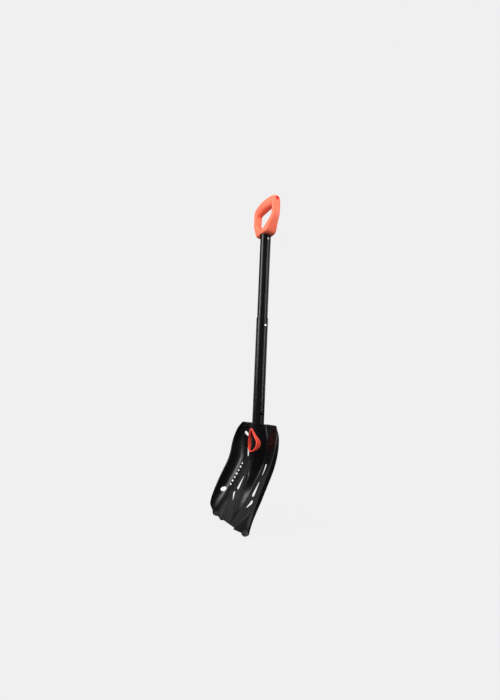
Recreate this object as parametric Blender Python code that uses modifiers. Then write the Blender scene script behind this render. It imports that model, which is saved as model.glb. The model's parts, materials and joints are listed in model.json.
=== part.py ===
"""Avalanche shovel: a pressed blade with a hoe collar, a telescopic oval shaft and a D grip.

Metres, +Z up along the shaft. The blade's scooping face looks towards -Y, and its cutting edge is at Z = 0.
The origin is at the bottom centre of the object's box.
"""

import math

import bmesh
import bpy
from mathutils import Matrix, Vector

MM = 0.001
GAP = 0.3 * MM  # clearance between touching pieces

# Shaft: two oval tubes, wider front to back than across, on one vertical axis.
SHAFT_Y = 32.5 * MM  # the shaft's axis lies this far behind the origin
LOWER_A, LOWER_B = 16.5 * MM, 17.5 * MM  # half width and half depth
TUBE_WALL = 1.2 * MM
UPPER_A, UPPER_B = LOWER_A - TUBE_WALL - 0.4 * MM, LOWER_B - TUBE_WALL - 0.4 * MM
LOWER_FOOT, LOWER_TOP = 180 * MM, 586 * MM
UPPER_FOOT = 500 * MM
TRAVEL = 258.5 * MM  # from the extended to the collapsed button hole
OVAL_SIDES = 32

# Latches: a button on a V leaf, one for the telescope and one for the blade.
BUTTON_R = 3.6 * MM
BUTTON_HOLE_R = BUTTON_R + 0.4 * MM
TELESCOPE_Z = 562 * MM
TELESCOPE_TIP = LOWER_A + 2.2 * MM
BLADE_LOCK_Z = 224 * MM
BLADE_LOCK_TIP = LOWER_B + 5 * MM
LEAF_T = 0.7 * MM
LEAF_W = 9 * MM

# Blade: height, wall and ridge.
BLADE_TOP = 274.5 * MM
SHEET = 1.8 * MM
PANEL_BACK = 12 * MM  # the upper panel lies this far behind the shaft's axis
LIFT = 0.55  # forward travel of the lower panel for each unit down
BEND_Z = 165.5 * MM
BEND_SOFTNESS = 14 * MM
RIM_HALF = 106.5 * MM  # half width between the rims near the top
RIM_SPREAD = 0.055
BULGE, BULGE_Z, BULGE_RUN = 8 * MM, 215 * MM, 38 * MM  # the walls swell outward beside the socket
WALL_PEAK, WALL_PEAK_Z, WALL_FALL = 36 * MM, 135 * MM, 1.33
WALL_LEAN = 0.45  # run outward for each unit of wall height
LOW_LEAN, LOW_LEAN_Z = 0.5, 80 * MM  # more lean towards the cutting edge
HIGH_LEAN, HIGH_LEAN_Z = 1.25, 235 * MM  # more lean towards the top corners
BEND_RUN = 16 * MM
LIP, LIP_RISE = 4 * MM, 1.6 * MM
RIDGE_SIDES, BEND_SIDES = 8, 4
CORNER_HALF, CORNER_Z, CORNER_X = 94 * MM, 40 * MM, 121 * MM  # an oval quarter
STEP_DEPTH = 8 * MM  # sawtooth of the cutting edge
STEP_TOP, STEP_RUN, STEP_RETURN = 52 * MM, 2 * MM, 14 * MM
TREAD_Z, TREAD_CURL = 266.5 * MM, 4 * MM
THROUGH_BLADE = (-150 * MM, SHAFT_Y + 30 * MM)  # a cut from front to back

# Ridge stations from the cutting edge up: height, half width, rise over the panel, fullness.
RIDGE = (
    (0, 3, 0.0, 1.0),
    (15, 6, 1.0, 1.0),
    (36, 17, 3.0, 1.0),
    (58, 23, 5.5, 0.95),
    (84, 25, 8.5, 0.9),
    (107, 25, 15, 0.8),
    (133, 26, 23.5, 0.65),
    (158, 28, 28.5, 0.5),
    (183, 33, 30.5, 0.5),
    (208, 38, 32, 0.5),
    (235, 37, 33, 0.45),
    (256, 28, 33.2, 0.35),
    (270, 23, 33.2, 0.26),
)

# Slots in the panel: centre across and up, length, radius of the top end and of the foot, lean outward.
SLOTS = (
    (43.5, 150.5, 31, 4.0, 2.2, 0.0),
    (44.0, 99.5, 39, 2.2, 6.5, 0.0),
    (47.4, 62.0, 26, 5.5, 2.2, 0.61),
)
LEFT_SLOTS = (  # on the left half only
    (83.0, 239.0, 22, 5.5, 5.5, 1.15),
    (67.0, 186.0, 30, 4.5, 4.5, 0.25),
)

# Hoe collar: a drop-shaped eye in the ridge.
EYE_R, EYE_Z = 27 * MM, 220 * MM
EYE_TIP_R, EYE_TIP_Z = 7 * MM, 256.5 * MM
COLLAR_WALL = 6 * MM
COLLAR_FRONT, COLLAR_DROP = 23.6 * MM, 8 * MM
COLLAR_DEPTH, COLLAR_SKIRT = 4.6 * MM, 9.5 * MM  # front to back: in the middle, and more at the sides

# Socket plate behind the ridge, with its rivets.
PLATE_FOOT, PLATE_TOP = 176 * MM, 262 * MM
PLATE_HALF = 57 * MM
PLATE_T = 1.8 * MM
RIVET_X = 50.5 * MM
RIVET_ZS = (184 * MM, 219 * MM, 254 * MM)
RIVET_R, RIVET_HEAD_R, RIVET_HEAD = 2 * MM, 3.8 * MM, 1.1 * MM

# Grip: a D frame whose section changes from corner to corner, on a tang inside the upper tube.
GRIP_FOOT = 835 * MM
# Corners of the right half, from the foot to the middle of the bar: across, height, corner radius.
GRIP_OUTER = ((29, 835, 6), (60, 880, 30), (58, 939, 13), (0, 949.5, 150))
GRIP_HAND = ((9, 853, 7), (43, 886, 16), (43, 914, 8), (0, 916, 150))
# Half depth front to back, and squareness, at the same corners.
GRIP_DEPTHS = (19.9, 12.5, 13, 15.5)
GRIP_SQUARE = (6, 2.6, 2.6, 2.2)
GRIP_SECTION_SIDES = 14
RECESS_A, RECESS_B, RECESS = LOWER_A + 0.6 * MM, LOWER_B + 0.6 * MM, 10.6 * MM  # clears the lower tube
TANG_FOOT = 795 * MM
TANG_OVERLAP = 3 * MM
GRIP_RIVET_Z = 823.5 * MM
GRIP_RIVET_R = 3 * MM
END_FACE, END_HOLE_Z = 58 * MM, 928 * MM
END_HOLE_R, END_HOLE_DEPTH, END_PLUG_SUNK = 6 * MM, 10 * MM, 6 * MM

PARTS = "avalanche_shovel"
SIDES = ((-1, "left"), (1, "right"))
BLACK_METAL = ((0.012, 0.012, 0.014, 1), 0.32, 0.9)
BLACK_PLASTIC = ((0.02, 0.02, 0.02, 1), 0.6, 0.0)
CORAL = ((0.95, 0.13, 0.05, 1), 0.5, 0.0)
STEEL = ((0.6, 0.6, 0.6, 1), 0.3, 1.0)


def clear_scene():
    for obj in list(bpy.data.objects):
        bpy.data.objects.remove(obj, do_unlink=True)


def collection(name):
    made = bpy.data.collections.new(name)
    bpy.context.scene.collection.children.link(made)
    return made


def material(name, look):
    colour, roughness, metallic = look
    made = bpy.data.materials.new(name)
    made.use_nodes = True
    shader = made.node_tree.nodes["Principled BSDF"]
    shader.inputs["Base Color"].default_value = colour
    shader.inputs["Roughness"].default_value = roughness
    shader.inputs["Metallic"].default_value = metallic
    return made


def add(name, mesh, look, origin=(0, 0, 0)):
    """Puts a mesh given in world coordinates in the parts, with its own origin."""
    obj = bpy.data.objects.new(name, mesh)
    mesh.transform(Matrix.Translation(-Vector(origin)))
    obj.location = origin
    parts.objects.link(obj)
    obj.data.materials.append(material(name, look))
    mesh.shade_smooth()
    mesh.set_sharp_from_angle(angle=math.radians(35))
    return obj


def cutter(name, mesh):
    obj = bpy.data.objects.new(name, mesh)
    obj.hide_render = True
    obj.display_type = "WIRE"
    cutters.objects.link(obj)
    return obj


def combine(obj, other, operation="DIFFERENCE"):
    change = obj.modifiers.new(other.name, "BOOLEAN")
    change.operation = operation
    change.object = other
    change.solver = "EXACT"


def mesh_of(name, build):
    bm = bmesh.new()
    build(bm)
    bmesh.ops.recalc_face_normals(bm, faces=bm.faces)
    mesh = bpy.data.meshes.new(name)
    bm.to_mesh(mesh)
    bm.free()
    return mesh


def prism(name, half_a, half_b, z0, z1, centre=(0, SHAFT_Y), sides=OVAL_SIDES):
    """An upright oval prism."""

    def build(bm):
        bmesh.ops.create_cone(bm, cap_ends=True, segments=sides, radius1=1, radius2=1, depth=z1 - z0)
        bmesh.ops.scale(bm, vec=(half_a, half_b, 1), verts=bm.verts)
        bmesh.ops.translate(bm, vec=(*centre, (z0 + z1) / 2), verts=bm.verts)

    return mesh_of(name, build)


def rod(name, radius, start, end, sides=20, tip_radius=None):
    """A round bar between two points, with an optional narrower end."""
    start, end = Vector(start), Vector(end)
    turn = (end - start).to_track_quat("Z", "Y").to_matrix().to_4x4()
    place = Matrix.Translation((start + end) / 2) @ turn

    def build(bm):
        bmesh.ops.create_cone(
            bm,
            cap_ends=True,
            segments=sides,
            radius1=radius,
            radius2=radius if tip_radius is None else tip_radius,
            depth=(end - start).length,
            matrix=place,
        )

    return mesh_of(name, build)


def extruded(name, outline, y0, y1):
    """A closed outline of (x, z) points, extruded along Y."""

    def build(bm):
        rings = [[bm.verts.new((x, y, z)) for x, z in outline] for y in (y0, y1)]
        count = len(outline)
        for i in range(count):
            j = (i + 1) % count
            bm.faces.new((rings[0][i], rings[0][j], rings[1][j], rings[1][i]))
        bm.faces.new(rings[0])
        bm.faces.new(rings[1])

    return mesh_of(name, build)


def along(stations, column, height):
    """A smooth curve through one column of the stations, at a height."""
    rows = [(s[0] * MM, s[column]) for s in stations]
    height = min(max(height, rows[0][0]), rows[-1][0])
    k = max(i for i in range(len(rows) - 1) if rows[i][0] <= height)
    (z0, v0), (z1, v1) = rows[k], rows[k + 1]

    def slope(i):
        if i in (0, len(rows) - 1):
            return 0.0
        before, here, after = rows[i - 1], rows[i], rows[i + 1]
        return (after[1] - before[1]) / (after[0] - before[0]) if before != here else 0.0

    span = z1 - z0
    t = (height - z0) / span
    return (
        (2 * t**3 - 3 * t**2 + 1) * v0
        + (t**3 - 2 * t**2 + t) * span * slope(k)
        + (3 * t**2 - 2 * t**3) * v1
        + (t**3 - t**2) * span * slope(k + 1)
    )


# Blade surface -------------------------------------------------------------------------------------------


def panel_y(z):
    """The panel's front face: upright behind the shaft, then sweeping forward below the bend."""
    drop = (BEND_Z - z) * LIFT
    return SHAFT_Y + PANEL_BACK - (drop + math.hypot(drop, BEND_SOFTNESS)) / 2


def wall_height(z):
    return WALL_PEAK - WALL_FALL * (z - WALL_PEAK_Z) ** 2


def wall_lean(z):
    low = max(0.0, 1 - z / LOW_LEAN_Z)
    high = max(0.0, (z - HIGH_LEAN_Z) / (BLADE_TOP - HIGH_LEAN_Z))
    return WALL_LEAN + LOW_LEAN * low + HIGH_LEAN * high**2


def rim_x(z):
    shoulder = max(0, z - 245 * MM)
    bulge = BULGE * math.exp(-(((z - BULGE_Z) / BULGE_RUN) ** 2))
    return RIM_HALF + (249 * MM - z) * RIM_SPREAD - 18 * shoulder**2 + bulge


def ridge_y(x, z):
    """How far the ridge stands in front of the panel."""
    half = along(RIDGE, 1, z) * MM
    if abs(x) >= half:
        return 0.0
    rise, fullness = along(RIDGE, 2, z) * MM, along(RIDGE, 3, z)
    return rise * (math.cos(math.pi / 2 * x / half) ** 2) ** fullness


def creases(z):
    """Where the sawtooth's step and its valley run, across the panel."""
    return min(36 * MM + 0.68 * z, 62 * MM), min(72 * MM + 0.8 * z, 88 * MM)


def sawtooth_y(x, z):
    """The step that the cutting edge makes forward, which fades out upward."""
    step, valley = creases(z)
    depth = STEP_DEPTH * max(0.0, 1 - z / STEP_TOP)
    if x <= step:
        return 0.0
    if x <= step + STEP_RUN:
        return depth * (x - step) / STEP_RUN
    if x <= valley:
        return depth * (valley - x) / (valley - step - STEP_RUN)
    return depth * min(1.0, (x - valley) / STEP_RETURN)


def tread_y(z):
    return TREAD_CURL * max(0.0, (z - TREAD_Z) / (BLADE_TOP - TREAD_Z)) ** 2


def flat_stations(half, step, valley, start):
    """Where the section has points between the ridge and the wall: always the same number of them."""
    wanted = (half, (half + step) / 2, step, step + STEP_RUN, (step + valley) / 2, min(valley, start))
    flat = sorted({round(max(x, half), 7) for x in wanted})
    while len(flat) < len(wanted):
        gaps = [b - a for a, b in zip(flat, flat[1:])]
        widest = gaps.index(max(gaps))
        flat.insert(widest + 1, (flat[widest] + flat[widest + 1]) / 2)
    return flat


def half_section(z):
    """Points (x, y) of the front face from the middle to the rim, at one height."""
    half = along(RIDGE, 1, z) * MM
    base_x = rim_x(z) - wall_lean(z) * wall_height(z)
    start = base_x - BEND_RUN
    flat = flat_stations(half, *creases(z), start)
    points = []
    for i in range(RIDGE_SIDES):
        x = half * math.sin(math.pi / 2 * i / RIDGE_SIDES)
        points.append((x, panel_y(z) - ridge_y(x, z)))
    points += [(x, panel_y(z) - sawtooth_y(x, z) + tread_y(z)) for x in flat]
    edge_y = panel_y(z) - sawtooth_y(start, z) + tread_y(z)
    top = Vector((rim_x(z), panel_y(z) - wall_height(z)))
    corner = Vector((base_x, edge_y))
    first = Vector((max(start, flat[-1] + 1 * MM), edge_y))
    last = corner + (top - corner) * min(0.55, BEND_RUN / (top - corner).length)
    for i in range(1, BEND_SIDES + 1):
        t = i / BEND_SIDES
        points.append(tuple(first * (1 - t) ** 2 + corner * 2 * t * (1 - t) + last * t**2))
    points.append(tuple((last + top) / 2))
    for i in range(3):
        turn = math.pi / 2 * i / 2
        points.append((top.x + LIP * (1 - math.cos(turn)), top.y - LIP_RISE * math.sin(turn)))
    return points


def blade_stations():
    """Heights of the blade's sections: close together over the sawtooth and under the tread."""
    low = [STEP_TOP * i / 5 for i in range(5)]
    high = [STEP_TOP + (TREAD_Z - 5 * MM - STEP_TOP) * i / 15 for i in range(16)]
    return low + high + [TREAD_Z + 1 * MM, BLADE_TOP]


def blade_sheet(name):
    def build(bm):
        rows = []
        for z in blade_stations():
            half = half_section(z)
            full = [(-x, y) for x, y in reversed(half[1:])] + half
            rows.append([bm.verts.new((x, y, z)) for x, y in full])
        for low, high in zip(rows, rows[1:]):
            for i in range(len(low) - 1):
                bm.faces.new((low[i], low[i + 1], high[i + 1], high[i]))

    mesh = mesh_of(name, build)
    facing = sum(p.normal.y * p.area for p in mesh.polygons)
    if facing > 0:
        mesh.flip_normals()
    return mesh


def slot_outline(x, z, length, top, foot, lean, sides=5):
    """A long hole between two round ends, joined by tangents; lean turns its top outward."""
    tangent = math.asin((foot - top) / (length - top - foot))
    points = []
    ends = (
        (length / 2 - top, top, tangent, math.pi - tangent),
        (foot - length / 2, foot, math.pi - tangent, 2 * math.pi + tangent),
    )
    for centre, radius, first, last in ends:
        for i in range(sides + 1):
            turn = first + (last - first) * i / sides
            points.append((radius * math.cos(turn), centre + radius * math.sin(turn)))
    c, s = math.cos(lean), math.sin(lean)
    return [((x + u * c + v * s) * MM, (z - u * s + v * c) * MM) for u, v in points]


def corner_outline(side, sides=8):
    """What is cut off a bottom corner, outside an oval quarter."""
    run, past = CORNER_X - CORNER_HALF, 10 * MM
    points = []
    for i in range(sides + 1):
        turn = math.pi / 2 * i / sides
        points.append((side * (CORNER_HALF + run * math.sin(turn)), CORNER_Z * (1 - math.cos(turn))))
    return points + [(side * (CORNER_X + past), CORNER_Z), (side * (CORNER_X + past), -past), (side * CORNER_HALF, -past)]


def eye_outline(grow=0.0, sides=20, straights=4):
    """The drop outline of the hoe eye: a big circle below, a small one above, joined by tangents."""
    low, high = EYE_R + grow, EYE_TIP_R + grow
    tangent = math.asin((low - high) / (EYE_TIP_Z - EYE_Z))
    arc = []
    for i in range(sides + 1):
        turn = tangent - (math.pi + 2 * tangent) * i / sides
        arc.append(Vector((low * math.cos(turn), EYE_Z + low * math.sin(turn))))
    tip = []
    for i in range(8):
        turn = math.pi - tangent - (math.pi - 2 * tangent) * i / 7
        tip.append(Vector((high * math.cos(turn), EYE_TIP_Z + high * math.sin(turn))))
    left = [arc[-1].lerp(tip[0], i / straights) for i in range(1, straights)]
    right = [tip[-1].lerp(arc[0], i / straights) for i in range(1, straights)]
    return [tuple(point) for point in arc + left + tip + right]


def drill_rivet_holes(obj, side, word):
    x = side * RIVET_X
    for z in RIVET_ZS:
        name = f"{obj.name}_rivet_hole_{word}_{round(z / MM)}"
        hole = rod(name, RIVET_R + GAP, (x, SHAFT_Y - 5 * MM, z), (x, SHAFT_Y + 25 * MM, z), 12)
        combine(obj, cutter(name, hole))


def make_blade():
    blade = add("blade", blade_sheet("blade"), BLACK_METAL)
    skin = blade.modifiers.new("sheet", "SOLIDIFY")
    skin.thickness = SHEET
    skin.offset = -1
    for side, word in SIDES:
        slots = SLOTS if side > 0 else SLOTS + LEFT_SLOTS
        for number, (x, *shape, lean) in enumerate(slots, 1):
            outline = slot_outline(side * x, *shape, side * lean)
            name = f"slot_{number}_{word}"
            combine(blade, cutter(name, extruded(name, outline, *THROUGH_BLADE)))
        name = f"corner_{word}"
        combine(blade, cutter(name, extruded(name, corner_outline(side), *THROUGH_BLADE)))
        drill_rivet_holes(blade, side, word)
    below = [(x * 150 * MM, -z * 20 * MM) for x, z in ((-1, 0), (1, 0), (1, 1), (-1, 1))]
    combine(blade, cutter("edge_trim", extruded("edge_trim", below, *THROUGH_BLADE)))
    eye = extruded("eye", eye_outline(GAP + 0.1 * MM), SHAFT_Y - 45 * MM, SHAFT_Y + 4 * MM)
    combine(blade, cutter("eye", eye))


def make_collar():
    """The lining of the hoe eye: its rim is level in the middle and falls back to the sides."""

    def build(bm):
        outer, inner = eye_outline(), eye_outline(-COLLAR_WALL)
        loops = []
        for outline, deep in ((outer, 0), (inner, 0), (inner, 1), (outer, 1)):
            ring = []
            for x, z in outline:
                across = (x / EYE_R) ** 2
                depth = COLLAR_DEPTH + COLLAR_SKIRT * across
                y = SHAFT_Y - COLLAR_FRONT + COLLAR_DROP * across + deep * depth
                ring.append(bm.verts.new((x, y, z)))
            loops.append(ring)
        count = len(outer)
        for a, b in zip(loops, loops[1:] + loops[:1]):
            for i in range(count):
                j = (i + 1) % count
                bm.faces.new((a[i], a[j], b[j], b[i]))

    add("hoe_collar", mesh_of("hoe_collar", build), CORAL)


def plate_y(x):
    """The socket plate's front face: flat behind the panel, with a hump round the tube."""
    flat = SHAFT_Y + PANEL_BACK + SHEET + GAP
    half_a, half_b = LOWER_A + 0.5 * MM, LOWER_B + 0.4 * MM
    if abs(x) >= half_a:
        return flat
    return max(flat, SHAFT_Y + half_b * math.sqrt(1 - (x / half_a) ** 2))


def make_socket_plate():
    xs = [-PLATE_HALF, -30 * MM] + [i * 1.5 * MM for i in range(-8, 9)] + [30 * MM, PLATE_HALF]

    def build(bm):
        rows = []
        for z in (PLATE_FOOT, PLATE_TOP):
            rows.append([bm.verts.new((x, plate_y(x), z)) for x in xs])
        for i in range(len(xs) - 1):
            bm.faces.new((rows[0][i], rows[0][i + 1], rows[1][i + 1], rows[1][i]))

    mesh = mesh_of("socket_plate", build)
    if sum(p.normal.y * p.area for p in mesh.polygons) > 0:
        mesh.flip_normals()
    plate = add("socket_plate", mesh, BLACK_METAL)
    skin = plate.modifiers.new("plate", "SOLIDIFY")
    skin.thickness = PLATE_T
    skin.offset = -1
    near, far = (0, SHAFT_Y + 10 * MM, BLADE_LOCK_Z), (0, SHAFT_Y + 30 * MM, BLADE_LOCK_Z)
    combine(plate, cutter("plate_lock_hole", rod("plate_lock_hole", BUTTON_HOLE_R, near, far)))
    for side, word in SIDES:
        drill_rivet_holes(plate, side, word)


def turned_rivet(name, front, back, x, z):
    """A rivet along Y with a domed head at each end."""

    def build(bm):
        profile = [
            (0, front - RIVET_HEAD),
            (RIVET_HEAD_R * 0.7, front - RIVET_HEAD * 0.75),
            (RIVET_HEAD_R, front),
            (RIVET_R, front),
            (RIVET_R, back),
            (RIVET_HEAD_R, back),
            (RIVET_HEAD_R * 0.7, back + RIVET_HEAD * 0.75),
            (0, back + RIVET_HEAD),
        ]
        points = [bm.verts.new((x + r, y, z)) for r, y in profile]
        edges = [bm.edges.new(pair) for pair in zip(points, points[1:])]
        bmesh.ops.spin(
            bm,
            geom=points + edges,
            cent=(x, 0, z),
            axis=(0, 1, 0),
            angle=2 * math.pi,
            steps=12,
            use_merge=True,
        )
        bmesh.ops.remove_doubles(bm, verts=bm.verts, dist=0.01 * MM)

    add(name, mesh_of(name, build), BLACK_METAL)


def make_blade_rivets():
    back = SHAFT_Y + PANEL_BACK + SHEET + PLATE_T + 2 * GAP
    for side, word in SIDES:
        for number, z in enumerate(RIVET_ZS, 1):
            front = panel_y(z - RIVET_HEAD_R) - GAP
            turned_rivet(f"blade_rivet_{word}_{number}", front, back, side * RIVET_X, z)


# Shaft ---------------------------------------------------------------------------------------------------


def make_tube(name, half_a, half_b, foot, top, side_holes, back_holes=(), through=()):
    tube = add(name, prism(name, half_a, half_b, foot, top), BLACK_METAL, (0, SHAFT_Y, foot))
    bore = prism(f"{name}_bore", half_a - TUBE_WALL, half_b - TUBE_WALL, foot - 5 * MM, top + 5 * MM)
    combine(tube, cutter(f"{name}_bore", bore))
    for z in side_holes:
        hole_name = f"{name}_hole_{round(z / MM)}"
        hole = rod(hole_name, BUTTON_HOLE_R, (5 * MM, SHAFT_Y, z), (30 * MM, SHAFT_Y, z))
        combine(tube, cutter(hole_name, hole))
    for z in back_holes:
        hole_name = f"{name}_back_hole_{round(z / MM)}"
        hole = rod(hole_name, BUTTON_HOLE_R, (0, SHAFT_Y + 5 * MM, z), (0, SHAFT_Y + 30 * MM, z))
        combine(tube, cutter(hole_name, hole))
    for z in through:
        hole_name = f"{name}_rivet_hole"
        hole = rod(hole_name, GRIP_RIVET_R + GAP, (-30 * MM, SHAFT_Y, z), (30 * MM, SHAFT_Y, z), 16)
        combine(tube, cutter(hole_name, hole))


def make_end_plug(name, tube_a, tube_b, foot, height):
    """A plastic plug just inside a tube's end, with a slot that lets the air through."""
    a, b = tube_a - TUBE_WALL - GAP, tube_b - TUBE_WALL - GAP
    plug = add(name, prism(name, a, b, foot, foot + height), BLACK_PLASTIC)
    vent = prism(f"{name}_vent", 4 * MM, 4 * MM, foot - 5 * MM, foot + height + 5 * MM, sides=12)
    combine(plug, cutter(f"{name}_vent", vent))


def make_button(name, direction, tip, seat, z):
    """A flanged push button whose tip stands proud of the tube round it."""
    centre = Vector((0, SHAFT_Y, z))
    out = Vector(direction)
    flange_end = seat + 1.2 * MM
    stem = rod(name, BUTTON_R, centre + out * seat, centre + out * (tip - 1 * MM))
    obj = add(name, stem, STEEL, centre)
    flange = rod(f"{name}_flange", BUTTON_R + 1.6 * MM, centre + out * seat, centre + out * flange_end)
    shoulder = centre + out * (tip - 1.2 * MM)
    cap = rod(f"{name}_cap", BUTTON_R, shoulder, centre + out * tip, tip_radius=BUTTON_R * 0.7)
    combine(obj, cutter(f"{name}_flange", flange), "UNION")
    combine(obj, cutter(f"{name}_cap", cap), "UNION")


def make_leaf(name, direction, near, far, z, drop):
    """A V leaf: one leg under the button, the other on the opposite wall, joined by a round heel."""
    out = Vector(direction)
    side = Vector((out.y, -out.x, 0))
    heel_r = 3 * MM
    path = [Vector((near, 7 * MM)), Vector((near, -4 * MM))]
    middle = (near + far) / 2
    for i in range(9):
        turn = math.pi * i / 8
        path.append(Vector((middle + heel_r * math.cos(turn), -drop - heel_r * math.sin(turn))))
    path += [Vector((far, -6 * MM)), Vector((far, 7 * MM))]

    def build(bm):
        rows = []
        for across in (-LEAF_W / 2, LEAF_W / 2):
            row = []
            for u, w in path:
                point = Vector((0, SHAFT_Y, z + w)) + out * u + side * across
                row.append(bm.verts.new(point))
            rows.append(row)
        for i in range(len(path) - 1):
            bm.faces.new((rows[0][i], rows[0][i + 1], rows[1][i + 1], rows[1][i]))

    obj = add(name, mesh_of(name, build), STEEL)
    thick = obj.modifiers.new("leaf", "SOLIDIFY")
    thick.thickness = LEAF_T
    thick.offset = 0


def make_shaft():
    collapsed_hole = TELESCOPE_Z - TRAVEL
    make_tube(
        "lower_tube",
        LOWER_A,
        LOWER_B,
        LOWER_FOOT,
        LOWER_TOP,
        (TELESCOPE_Z, collapsed_hole),
        back_holes=(BLADE_LOCK_Z,),
    )
    upper_top = GRIP_FOOT + RECESS - GAP
    make_tube(
        "upper_tube",
        UPPER_A,
        UPPER_B,
        UPPER_FOOT,
        upper_top,
        (TELESCOPE_Z,),
        through=(GRIP_RIVET_Z,),
    )
    make_end_plug("lower_tube_end_plug", LOWER_A, LOWER_B, LOWER_FOOT, 9 * MM)
    make_end_plug("upper_tube_end_plug", UPPER_A, UPPER_B, UPPER_FOOT, 12 * MM)
    seat = UPPER_A - TUBE_WALL - 2.2 * MM
    make_button("telescope_button", (1, 0, 0), TELESCOPE_TIP, seat, TELESCOPE_Z)
    leaf_near = seat - LEAF_T / 2 - GAP
    leaf_far = -(UPPER_A - TUBE_WALL - LEAF_T / 2 - 1.2 * MM)
    make_leaf("telescope_leaf_spring", (1, 0, 0), leaf_near, leaf_far, TELESCOPE_Z, 28 * MM)
    seat = LOWER_B - TUBE_WALL - 2.2 * MM
    make_button("blade_lock_button", (0, 1, 0), BLADE_LOCK_TIP, seat, BLADE_LOCK_Z)
    leaf_near = seat - LEAF_T / 2 - GAP
    leaf_far = -(LOWER_B - TUBE_WALL - LEAF_T / 2 - 1.2 * MM)
    make_leaf("blade_lock_leaf_spring", (0, 1, 0), leaf_near, leaf_far, BLADE_LOCK_Z, 26 * MM)


# Grip ----------------------------------------------------------------------------------------------------


def rounded(corners, sides=4):
    """A closed outline of (x, z) points from (x, z, radius) corners, each turned into an arc."""
    points = []
    for i, (x, z, radius) in enumerate(corners):
        here = Vector((x, z))
        before = (Vector(corners[i - 1][:2]) - here).normalized()
        after = (Vector(corners[(i + 1) % len(corners)][:2]) - here).normalized()
        half = before.angle(after) / 2
        centre = here + (before + after).normalized() * (radius / math.sin(half))
        start = here + before * (radius / math.tan(half)) - centre
        end = here + after * (radius / math.tan(half)) - centre
        swing = start.angle_signed(end)
        for k in range(sides + 1):
            points.append(centre + Matrix.Rotation(-swing * k / sides, 2) @ start)
    return points


def both_halves(right):
    """The corners of a right half that ends on the middle, carried on round the left half."""
    return list(right) + [(-x, *rest) for x, *rest in reversed(right[:-1])]


def grip_ring(bm, sides=4):
    """The D frame: a loft round the hand hole, with a rounded section at each station."""
    outer = rounded([(x * MM, z * MM, r * MM) for x, z, r in both_halves(GRIP_OUTER)], sides)
    hand = rounded([(x * MM, z * MM, r * MM) for x, z, r in both_halves(GRIP_HAND)], sides)
    corners = both_halves([(0, *pair) for pair in zip(GRIP_DEPTHS, GRIP_SQUARE)])
    rings = []
    for station, (out, hole) in enumerate(zip(outer, hand)):
        _, depth, square = corners[station // (sides + 1)]
        middle, reach = (out + hole) / 2, (out - hole) / 2
        ring = []
        for k in range(GRIP_SECTION_SIDES):
            turn = 2 * math.pi * k / GRIP_SECTION_SIDES
            c, s = math.cos(turn), math.sin(turn)
            u = math.copysign(abs(c) ** (2 / square), c)
            v = math.copysign(abs(s) ** (2 / square), s)
            spot = middle + reach * u
            ring.append(bm.verts.new((spot.x, SHAFT_Y + depth * MM * v, spot.y)))
        rings.append(ring)
    for here, there in zip(rings, rings[1:] + rings[:1]):
        for k in range(GRIP_SECTION_SIDES):
            after = (k + 1) % GRIP_SECTION_SIDES
            bm.faces.new((here[k], here[after], there[after], there[k]))


def make_grip():
    grip = add("grip", mesh_of("grip", grip_ring), CORAL)
    recess_top = GRIP_FOOT + RECESS
    recess = prism("grip_recess", RECESS_A, RECESS_B, GRIP_FOOT - 5 * MM, recess_top)
    combine(grip, cutter("grip_recess", recess))
    tang_a, tang_b = UPPER_A - TUBE_WALL - GAP, UPPER_B - TUBE_WALL - GAP
    tang = prism("grip_tang", tang_a, tang_b, TANG_FOOT, recess_top + TANG_OVERLAP)
    combine(grip, cutter("grip_tang", tang), "UNION")
    left, right = (-30 * MM, SHAFT_Y, GRIP_RIVET_Z), (30 * MM, SHAFT_Y, GRIP_RIVET_Z)
    bore = rod("grip_rivet_bore", GRIP_RIVET_R + GAP, left, right, 16)
    combine(grip, cutter("grip_rivet_bore", bore))
    for side, word in SIDES:
        foot = side * (END_FACE - END_HOLE_DEPTH)
        beyond = side * (END_FACE + 5 * MM)
        name = f"grip_end_hole_{word}"
        hole = rod(name, END_HOLE_R, (foot, SHAFT_Y, END_HOLE_Z), (beyond, SHAFT_Y, END_HOLE_Z))
        combine(grip, cutter(name, hole))
        seat = foot + side * GAP
        face = side * (END_FACE - END_PLUG_SUNK)
        plug = f"grip_end_plug_{word}"
        shape = rod(plug, END_HOLE_R - GAP, (seat, SHAFT_Y, END_HOLE_Z), (face, SHAFT_Y, END_HOLE_Z))
        add(plug, shape, CORAL)
    reach = UPPER_A - 0.1 * MM
    left, right = (-reach, SHAFT_Y, GRIP_RIVET_Z), (reach, SHAFT_Y, GRIP_RIVET_Z)
    add("grip_rivet", rod("grip_rivet", GRIP_RIVET_R, left, right, 16), STEEL)


clear_scene()
parts = collection(PARTS)
cutters = collection("cutters")
make_blade()
make_collar()
make_socket_plate()
make_blade_rivets()
make_shaft()
make_grip()
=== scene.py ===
"""Looks of the avalanche shovel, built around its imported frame.

Metres, +Z up along the shaft. The scooping face looks towards -Y, and the cutting edge is at Z = 0.
"""

import json
import math

import bmesh
import bpy
import numpy as np
from mathutils import Matrix, Vector


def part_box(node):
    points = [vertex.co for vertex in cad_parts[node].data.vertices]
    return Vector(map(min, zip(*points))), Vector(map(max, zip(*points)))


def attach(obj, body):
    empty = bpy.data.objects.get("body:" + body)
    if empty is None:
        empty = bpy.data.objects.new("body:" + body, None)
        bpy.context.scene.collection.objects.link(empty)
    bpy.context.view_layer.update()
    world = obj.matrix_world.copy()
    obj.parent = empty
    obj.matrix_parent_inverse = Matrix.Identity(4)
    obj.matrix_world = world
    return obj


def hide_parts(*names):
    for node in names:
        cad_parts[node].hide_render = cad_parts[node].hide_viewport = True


MM = 0.001
SIDES = ((-1, "left"), (1, "right"))

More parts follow.
